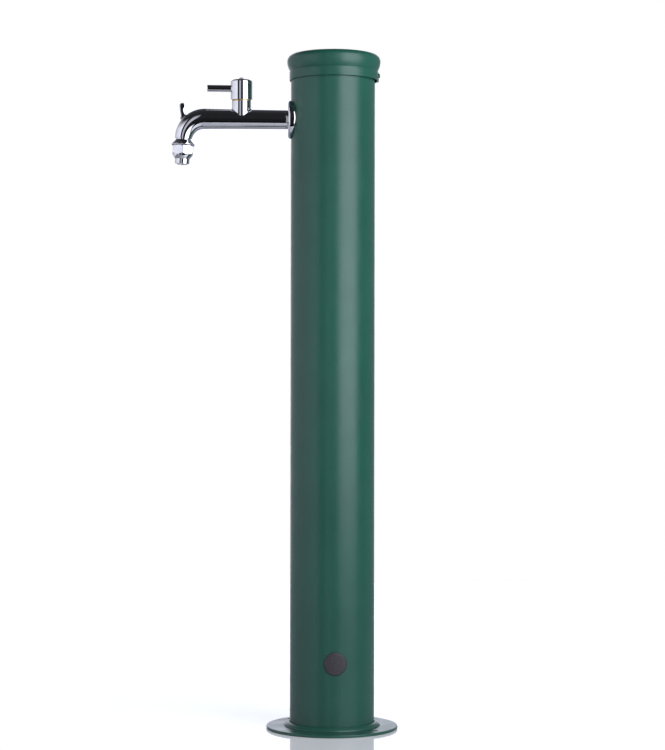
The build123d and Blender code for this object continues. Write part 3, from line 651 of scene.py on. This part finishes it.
def make_tap_pipe():
    """The pipe with its threaded shank, its bend and the plain end that carries the nozzle, in one skin."""
    count = 192
    rings = []

    def at(x, radius):
        rings.append(ring_at(Vector((x, 0, TAP_Z)), (-1, 0, 0), radius, count))

    bore_end_x = SHANK_END_X - 12 * MM
    at(bore_end_x, BORE_R)
    at(SHANK_END_X, BORE_R)
    at(SHANK_END_X, THREAD_R - 1.0 * MM)
    turns = int((SHANK_END_X - SHOULDER_X) / THREAD_PITCH)
    for k in range(turns):
        start = SHANK_END_X - 0.4 * MM - k * THREAD_PITCH
        for share, depth in ((0.0, 1.0), (0.12, 0.85), (0.42, 0.06), (0.5, 0.0), (0.58, 0.06), (0.88, 0.85)):
            at(start - share * THREAD_PITCH, THREAD_R - depth * THREAD_DEPTH)
    at(SHOULDER_X + 0.3 * MM, THREAD_R - 0.4 * MM)
    at(SHOULDER_X, THREAD_R - 0.4 * MM)
    at(SHOULDER_X, PIPE_R - 0.4 * MM)
    at(SHOULDER_X - 0.12 * MM, PIPE_R - 0.12 * MM)
    at(SHOULDER_X - 0.4 * MM, PIPE_R)
    for k in range(1, 8):
        at(SHOULDER_X + (TAPER_X - SHOULDER_X) * k / 8, PIPE_R + (PIPE_MID_R - PIPE_R) * k / 8)
    for k in range(24):
        share = k / 24
        at(TAPER_X + (BEND_X - TAPER_X) * share, PIPE_MID_R + (PIPE_BEND_R - PIPE_MID_R) * share ** 1.35)
    steps = 72
    for k in range(steps + 1):
        share = k / steps
        centre, axis = bend_point(BEND_TURN * share)
        radius = PIPE_BEND_R - (PIPE_BEND_R - SPOUT_END_R) * share ** 1.7
        rings.append(ring_at(centre, axis, radius, count))
    for out, radius in ((0.12, SPOUT_END_R - 0.02 * MM), (0.5, SPOUT_END_R - 0.35 * MM),
                        (0.55, SPOUT_END_R - 0.9 * MM), (0.6, THREAD_R), (19.0, THREAD_R),
                        (19.5, THREAD_R - 0.6 * MM), (19.5, BORE_R), (4.0, BORE_R)):
        rings.append(ring_at(OUTLET + OUTLET_AXIS * out * MM, OUTLET_AXIS, radius, count))
    end = OUTLET + OUTLET_AXIS * 4.0 * MM
    start = Vector((bore_end_x, 0, TAP_Z))
    points, faces = skin(rings, False, start, end)
    pipe = add_mesh("tap_pipe_and_bend", points, faces, 38.0)
    finish_piece(pipe, "stand", "chrome_plate", CHROME, "tap_body")


def make_valve_boss():
    """The upright boss, blended into the pipe by a fillet that rolls along both."""
    count = 256
    outer_gap = BOSS_R + BOSS_FILLET
    columns = []
    chamber = 10.5 * MM
    chamber_foot = BOSS_TOP - 9 * MM
    for j in range(count):
        turn = TAU * j / count
        arm = Vector((math.cos(turn), math.sin(turn), 0))
        height = math.sqrt((PIPE_MID_R + BOSS_FILLET) ** 2 - (outer_gap * arm.y) ** 2)
        centre = Vector((VALVE_X, 0, TAP_Z)) + arm * outer_gap + Vector((0, 0, height))
        to_boss = -arm
        to_pipe = -Vector((0, outer_gap * arm.y, height)).normalized()
        sweep = to_boss.angle(to_pipe)
        axis = Vector((VALVE_X, 0, 0))
        column = [axis + arm * chamber + Vector((0, 0, level)) for level in (chamber_foot, BOSS_TOP)]
        for inset, drop in ((0.45, 0.0), (0.22, 0.03), (0.06, 0.16), (0.0, 0.4), (0.0, 0.7)):
            column.append(axis + arm * (BOSS_R - inset * MM) + Vector((0, 0, BOSS_TOP - drop * MM)))
        top = BOSS_TOP - 0.7 * MM
        for k in range(1, 6):
            column.append(axis + arm * BOSS_R + Vector((0, 0, top + (centre.z - top) * k / 6)))
        steps = 10
        for k in range(steps + 1):
            t = k / steps
            if sweep < 1e-4:
                direction = to_boss
            else:
                direction = to_boss * math.sin((1 - t) * sweep) + to_pipe * math.sin(t * sweep)
                direction /= math.sin(sweep)
            column.append(centre + direction * BOSS_FILLET)
        foot = column[-1]
        column.append(Vector((VALVE_X, 0, TAP_Z)) + (foot - Vector((VALVE_X, 0, TAP_Z))) * 0.93)
        columns.append(column)
    rings = [list(ring) for ring in zip(*columns)]
    points, faces = skin(rings, False, Vector((VALVE_X, 0, chamber_foot)), Vector((VALVE_X, 0, TAP_Z)))
    boss = add_mesh("valve_boss", points, faces, 50.0)
    finish_piece(boss, "stand", "chrome_plate", CHROME, "tap_body")


def make_bucket_hook():
    """The cast hook: a flared root on the bend, a thin neck leaning back, and a round end.
    Its front and back are flattened."""
    path = [Vector((x * MM, 0, z * MM)) for x, z in HOOK_LINE_MM]
    count = 64
    samples = []
    for i in range(len(path) - 1):
        p0 = path[max(i - 1, 0)]
        p1, p2 = path[i], path[i + 1]
        p3 = path[min(i + 2, len(path) - 1)]
        for k in range(12):
            t = k / 12
            samples.append(0.5 * ((2 * p1) + (p2 - p0) * t + (2 * p0 - 5 * p1 + 4 * p2 - p3) * t * t
                                  + (3 * p1 - p0 - 3 * p2 + p3) * t ** 3))
    samples.append(path[-1])
    bulb = path[-1]
    bulb_r = HOOK_BULB_R
    neck_r = HOOK_NECK_R
    rings = []
    root = Vector((BEND_X, 0, TAP_Z - BEND_R))

    def section(centre, axis, radius, half=HOOK_HALF_T):
        """A flat-sided ring with rounded corners."""
        axis = axis.normalized()
        across = Vector((0, 1, 0)).cross(axis).normalized()
        found = []
        for j in range(count):
            c, s = math.cos(TAU * j / count), math.sin(TAU * j / count)
            wide = radius * math.copysign(abs(c) ** (2 / HOOK_SQUARE), c)
            deep = half * math.copysign(abs(s) ** (2 / HOOK_SQUARE), s)
            found.append(centre + across * wide + Vector((0, 1, 0)) * deep)
        return found

    for i, point in enumerate(samples):
        after = samples[min(i + 1, len(samples) - 1)]
        before = samples[max(i - 1, 0)]
        above = max((point - root).length - (BEND_R + PIPE_BEND_R - 0.8 * MM), 0)
        flare = 3.2 * MM * math.exp(-above / (2.2 * MM))
        from_bulb = (point - bulb).length
        ball = math.sqrt(max(bulb_r ** 2 - from_bulb ** 2, 0)) if from_bulb < bulb_r else 0.0
        swell = 0.35 * MM * math.exp(-max(from_bulb - bulb_r, 0) / (1.2 * MM))
        radius = max((ball ** 6 + (neck_r + flare + swell) ** 6) ** (1 / 6), neck_r)
        rings.append(section(point, after - before, radius))
    last_axis = (samples[-1] - samples[-2]).normalized()
    start_r = (bulb_r ** 6 + (neck_r + 0.35 * MM) ** 6) ** (1 / 6)
    for k in range(1, 14):
        turn = math.pi / 2 * k / 14
        rings.append(section(bulb + last_axis * bulb_r * math.sin(turn), last_axis, start_r * math.cos(turn),
                             HOOK_HALF_T * math.cos(turn) ** 0.3))
    points, faces = skin(rings, False, samples[0], bulb + last_axis * bulb_r)
    hook = add_mesh("bucket_hook", points, faces, 70.0)
    finish_piece(hook, "stand", "chrome_plate", CHROME, "tap_body")


# ---------------------------------------------------------------------------------------------
# Outlet
# ---------------------------------------------------------------------------------------------

def make_outlet_collar():
    bore = THREAD_R + 0.07 * MM
    corners = [(bore, 3.0, 0), (bore, 1.5, 0.2), (11.6, 1.5, 0.5), (12.9, 3.2, 1.0), (18.45, 8.3, 0.25),
               (18.55, 9.0, 0.2), (17.9, 9.1, 0.25), (12.2, 4.4, 0.6), (bore, 4.4, 0.2), (bore, 3.0, 0)]
    scaled = [(a if a == bore else a * MM, b * MM, c * MM) for a, b, c in corners]
    collar = lathe("flared_collar", rounded(scaled, 5, 0.1 * MM)[:-1], OUTLET, OUTLET_AXIS, closed=True)
    finish_piece(collar, "stand", "chrome_plate", CHROME, "outlet_collar")


def soft_min(a, b, blend):
    low = min(a, b)
    return low - blend * math.log(math.exp(-(a - low) / blend) + math.exp(-(b - low) / blend))


def make_nozzle():
    """The outlet's hexagon with turned chamfers, its cone and its tip, hollow down to the pipe's end."""
    flats = 14.5 * MM
    corner = flats / math.cos(math.pi / 6)
    start, end = 10.4 * MM, 22.6 * MM
    cone_end, tip_end = 29.2 * MM, 36.6 * MM
    tip_r, cone_r, mouth_r = 10.5 * MM, 15.4 * MM, 8.2 * MM
    first, second = frame_of(OUTLET_AXIS)
    count = 240

    def hexagon(turn):
        wedge = (turn + math.pi / 6) % (math.pi / 3) - math.pi / 6
        return soft_min(flats / math.cos(wedge), corner - 0.25 * MM, 0.1 * MM)

    def turned(s):
        """The lathe-cut limit on the hexagon at a distance along the nozzle."""
        top = corner - 1.9 * MM + (s - start) * 1.45
        bottom = corner - 2.1 * MM + (end - s) * 1.25
        return soft_min(top, bottom, 0.15 * MM)

    levels = [start + (end - start) * (0.5 - 0.5 * math.cos(math.pi * k / 34)) for k in range(35)]
    tail = rounded([(cone_r, end + 0.02 * MM, 0), (cone_r, end + 0.03 * MM, 0), (tip_r, cone_end, 1.2 * MM),
                    (tip_r, tip_end, 1.1 * MM), (mouth_r, tip_end, 0.4 * MM),
                    (mouth_r, tip_end - 8 * MM, 0)], 7)
    rings = []

    def ring(s, radius_of):
        found = []
        for j in range(count):
            turn = TAU * j / count
            arm = first * math.cos(turn) + second * math.sin(turn)
            found.append(OUTLET + OUTLET_AXIS * s + arm * radius_of(turn))
        return found

    bore = THREAD_R + 0.1 * MM
    rings.append(ring(start + 6 * MM, lambda turn: bore))
    rings.append(ring(start, lambda turn: bore))
    for level in levels:
        rings.append(ring(level, lambda turn: soft_min(hexagon(turn), turned(level), 0.12 * MM)))
    for radius, s in tail:
        rings.append(ring(s, lambda turn: radius))
    rings.append(ring(start + 6 * MM, lambda turn: mouth_r))
    points, faces = skin(rings, True)
    nozzle = add_mesh("hex_nozzle", points, faces, 42.0)
    finish_piece(nozzle, "stand", "chrome_plate", CHROME, "outlet_nozzle")


# ---------------------------------------------------------------------------------------------
# Handle
# ---------------------------------------------------------------------------------------------

def make_knob():
    bore = 13.9 * MM
    seat = BUTTON_R + 0.1 * MM
    corners = [(bore, KNOB_FOOT + 5 * MM, 0), (bore, KNOB_FOOT, 0.25 * MM), (KNOB_R, KNOB_FOOT, 0.45 * MM),
               (KNOB_R, KNOB_TOP - 0.55 * MM, 3.3 * MM), (seat, KNOB_TOP, 0.3 * MM),
               (seat, KNOB_TOP - 4 * MM, 0), (0, KNOB_TOP - 4 * MM, 0)]
    outline = [(0, KNOB_FOOT + 5 * MM)] + rounded(corners, 12)
    knob = lathe("knob_shell", outline, (VALVE_X, 0, 0), count=256)
    finish_piece(knob, "handle", "chrome_plate", CHROME, "handle_knob")


def make_lever():
    inner = VALVE_X - KNOB_R + 1.8 * MM
    length = inner - LEVER_TIP_X
    corners = [(0, 0, 0), (LEVER_R, 0, 0), (LEVER_R, length, 0.55 * MM), (0, length, 0)]
    outline = rounded(corners, 6)
    outline[-2:-2] = [Vector((LEVER_R * 0.55, length))]
    lever = lathe("lever_rod", outline, (inner, 0, LEVER_Z), (-1, 0, 0), 128)
    finish_piece(lever, "handle", "chrome_plate", CHROME, "handle_lever")


def make_button():
    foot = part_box("handle_button")[0].z
    shoulder = BUTTON_TOP - 2.6 * MM
    outline = [(0, foot), (BUTTON_R, foot), (BUTTON_R, shoulder - 0.2 * MM)]
    for k in range(17):
        turn = math.pi / 2 * k / 16
        rise = (BUTTON_TOP - shoulder) * math.sin(turn)
        outline.append((BUTTON_R * math.cos(turn) ** 0.9, shoulder + rise))
    outline[-1] = (0, BUTTON_TOP)
    button = lathe("knob_button", outline, (VALVE_X, 0, 0), count=96)
    finish_piece(button, "handle", "grey_plastic", MATERIALS["grey_plastic"], "handle_button")


# ---------------------------------------------------------------------------------------------
# Studio
# ---------------------------------------------------------------------------------------------

CAMERA_DISTANCE = 2.947
CAMERA_HEIGHT = 0.4857
CAMERA_AZIMUTH = math.radians(-4.4)
CAMERA_PITCH = math.radians(0.39)
CAMERA_ROLL = math.radians(0.0955)
FOCAL_PIXELS = 2050.6
PICTURE_HEIGHT = 750
SENSOR = 36.0
FLOOR_FRONT_Y = -0.83
FLOOR_BACK_Y = 2.2
FLOOR_HALF = 1.9
# How much the floor is lifted towards white, for the camera only.
FLOOR_LIFT = 0.17
SOFTBOX_MIDDLE = (0.732, -0.934, 1.13)
SOFTBOX_SIZE = (1.38, 2.24)
SOFTBOX_LIGHT = 3.7
# The share of the softbox, at each side, over which it fades out.
SOFTBOX_SOFTNESS = 0.2


def make_camera():
    data = bpy.data.cameras.new("camera")
    data.sensor_fit = "VERTICAL"
    data.sensor_height = SENSOR
    data.lens = FOCAL_PIXELS / PICTURE_HEIGHT * SENSOR
    data.clip_end = 50.0
    camera = bpy.data.objects.new("camera", data)
    bpy.context.scene.collection.objects.link(camera)
    a, p = CAMERA_AZIMUTH, CAMERA_PITCH
    ahead = Vector((-math.sin(a) * math.cos(p), math.cos(a) * math.cos(p), math.sin(p)))
    right = ahead.cross(Vector((0, 0, 1))).normalized()
    up = right.cross(ahead)
    tilted_right = right * math.cos(CAMERA_ROLL) + up * math.sin(CAMERA_ROLL)
    tilted_up = up * math.cos(CAMERA_ROLL) - right * math.sin(CAMERA_ROLL)
    turn = Matrix((tilted_right, tilted_up, -ahead)).transposed().to_4x4()
    place = Vector((CAMERA_DISTANCE * math.sin(a), -CAMERA_DISTANCE * math.cos(a), CAMERA_HEIGHT))
    camera.matrix_world = Matrix.Translation(place) @ turn
    bpy.context.scene.camera = camera


# Brightness round the studio by azimuth in degrees, seen from the post. 0 is towards the
# camera's side and 90 is towards +X. The strong light at the front right is a mesh of its own.
ROUND_THE_STUDIO = (
    (-180, 1.65), (-170, 1.60), (-157, 0.58), (-140, 0.53), (-120, 0.66), (-100, 0.82), (-80, 0.92),
    (-60, 1.00), (-43, 1.05), (-41, 0.012), (-25, 0.012), (-23.5, 0.56), (-8, 0.56), (-6.5, 0.012),
    (84, 0.02), (100, 0.24), (146, 0.28), (157, 0.50), (166, 1.65), (180, 1.65),
)
RAMP_TOP = 2.0
# The share of that brightness left at each elevation, in degrees.
UP_THE_STUDIO = ((-90, 0.15), (-40, 0.30), (-25, 1.0), (24, 1.0), (44, 0.0), (90, 0.0))
CEILING_FRONT = 0.02
CEILING_BACK = 0.12


def make_world():
    """A white studio as seen by the camera, with separate panels for light and gloss."""
    world = bpy.data.worlds.new("studio")
    bpy.context.scene.world = world
    world.use_nodes = True
    tree = world.node_tree
    tree.nodes.clear()

    def node(kind, **settings):
        made = tree.nodes.new(kind)
        for key, value in settings.items():
            setattr(made, key, value)
        return made

    def compute(operation, *values):
        made = node("ShaderNodeMath", operation=operation)
        for socket, value in zip(made.inputs, values):
            if isinstance(value, (int, float)):
                socket.default_value = value
            else:
                tree.links.new(value, socket)
        return made.outputs["Value"]

    def ramp(value, stops, low, high, top):
        """A profile from (place, brightness) stops, with place running from low to high."""
        made = node("ShaderNodeValToRGB")
        tree.links.new(compute("DIVIDE", compute("SUBTRACT", value, low), high - low), made.inputs["Fac"])
        elements = made.color_ramp.elements
        while len(elements) < len(stops):
            elements.new(0.5)
        for element, (place, bright) in zip(elements, stops):
            element.position = (place - low) / (high - low)
            element.color = (bright / top, bright / top, bright / top, 1)
        return compute("MULTIPLY", made.outputs["Color"], top)

    split = node("ShaderNodeSeparateXYZ")
    tree.links.new(node("ShaderNodeTexCoord").outputs["Generated"], split.inputs["Vector"])
    x, y, z = (split.outputs[name] for name in "XYZ")
    azimuth = compute("MULTIPLY", compute("ARCTAN2", x, compute("MULTIPLY", y, -1.0)), 180 / math.pi)
    elevation = compute("MULTIPLY", compute("ARCSINE", z), 180 / math.pi)
    panels = compute("MULTIPLY", ramp(azimuth, ROUND_THE_STUDIO, -180, 180, RAMP_TOP),
                     ramp(elevation, UP_THE_STUDIO, -90, 90, 1.0))
    back = compute("MULTIPLY", compute("ADD", y, 1.0), 0.5)
    ceiling = compute("ADD", compute("MULTIPLY", compute("POWER", back, 3.0), CEILING_BACK - CEILING_FRONT),
                      CEILING_FRONT)
    above = compute("GREATER_THAN", elevation, 0.0)
    total = compute("MAXIMUM", panels, compute("MULTIPLY", ceiling, above))
    studio = node("ShaderNodeBackground")
    studio.inputs["Color"].default_value = (0.95, 0.975, 1.12, 1)
    tree.links.new(total, studio.inputs["Strength"])
    white = node("ShaderNodeBackground")
    white.inputs["Color"].default_value = (1, 1, 1, 1)
    white.inputs["Strength"].default_value = 1.0
    choose = node("ShaderNodeMixShader")
    tree.links.new(node("ShaderNodeLightPath").outputs["Is Camera Ray"], choose.inputs["Fac"])
    tree.links.new(studio.outputs["Background"], choose.inputs[1])
    tree.links.new(white.outputs["Background"], choose.inputs[2])
    tree.links.new(choose.outputs["Shader"], node("ShaderNodeOutputWorld").inputs["Surface"])


def make_floor():
    """A pale glossy board under the post, which ends in front of it and fades to white for the camera."""
    corners = [(-FLOOR_HALF, FLOOR_FRONT_Y, 0), (FLOOR_HALF, FLOOR_FRONT_Y, 0),
               (FLOOR_HALF, FLOOR_BACK_Y, 0), (-FLOOR_HALF, FLOOR_BACK_Y, 0)]
    floor = add_mesh("studio_floor", corners, [(0, 1, 2, 3)])
    n = Nodes("pale_gloss_floor", (0.86, 0.87, 0.89), 0.05, IOR=1.5)
    n.rough(n.spread(n.noise(3.0, 3.0), 0.04, 0.08))
    n.colour(n.mix(n.spread(n.noise(5.0, 3.0), 0.0, 1.0), (0.85, 0.86, 0.885), (0.87, 0.88, 0.90)))
    n.shader.inputs["Emission Color"].default_value = (1, 1, 1, 1)
    seen = n.add("ShaderNodeLightPath").outputs["Is Camera Ray"]
    n.link(n.math("MULTIPLY", seen, FLOOR_LIFT), n.shader.inputs["Emission Strength"])
    floor.data.materials.append(n.material)
    floor.location.z = -0.0002


def make_softbox():
    """The tall soft light at the front right, which sets the long highlight down the column."""
    middle_point = Vector(SOFTBOX_MIDDLE)
    toward = Vector((-middle_point.x, -middle_point.y, 0)).normalized()
    side = toward.cross(Vector((0, 0, 1)))
    wide, tall = SOFTBOX_SIZE
    corners = [middle_point + side * (wide * i / 2) + Vector((0, 0, tall * k / 2))
               for i, k in ((-1, -1), (1, -1), (1, 1), (-1, 1))]
    box = add_mesh("softbox", corners, [(0, 1, 2, 3)])
    layer = box.data.uv_layers.new(name="place")
    for loop, place in zip(layer.data, ((0, 0), (1, 0), (1, 1), (0, 1))):
        loop.uv = place
    material = bpy.data.materials.new("softbox_glow")
    material.use_nodes = True
    tree = material.node_tree
    tree.nodes.clear()
    split = tree.nodes.new("ShaderNodeSeparateXYZ")
    tree.links.new(tree.nodes.new("ShaderNodeTexCoord").outputs["UV"], split.inputs["Vector"])
    strength = None
    for name in "XY":
        for low, high in ((0.0, SOFTBOX_SOFTNESS), (1.0, 1.0 - SOFTBOX_SOFTNESS)):
            edge = tree.nodes.new("ShaderNodeMapRange")
            edge.inputs["From Min"].default_value = low
            edge.inputs["From Max"].default_value = high
            tree.links.new(split.outputs[name], edge.inputs["Value"])
            if strength is None:
                strength = edge.outputs["Result"]
            else:
                product = tree.nodes.new("ShaderNodeMath")
                product.operation = "MULTIPLY"
                tree.links.new(strength, product.inputs[0])
                tree.links.new(edge.outputs["Result"], product.inputs[1])
                strength = product.outputs["Value"]
    bright = tree.nodes.new("ShaderNodeMath")
    bright.operation = "MULTIPLY"
    bright.inputs[1].default_value = SOFTBOX_LIGHT
    tree.links.new(strength, bright.inputs[0])
    glow = tree.nodes.new("ShaderNodeEmission")
    glow.inputs["Color"].default_value = (0.96, 0.98, 1.10, 1)
    tree.links.new(bright.outputs["Value"], glow.inputs["Strength"])
    output = tree.nodes.new("ShaderNodeOutputMaterial")
    tree.links.new(glow.outputs["Emission"], output.inputs["Surface"])
    box.data.materials.append(material)
    box.visible_camera = False
    box.visible_shadow = False


# ---------------------------------------------------------------------------------------------
# The scene
# ---------------------------------------------------------------------------------------------

make_camera()
dress_cad_nodes()
make_column()
make_foot_collar()
make_base_flange()
make_cap()
make_plug()
make_rosette()
make_tap_pipe()
make_valve_boss()
make_bucket_hook()
make_outlet_collar()
make_nozzle()
make_knob()
make_lever()
make_button()
make_world()
make_floor()
make_softbox()
bpy.context.scene.view_settings.view_transform = "Standard"
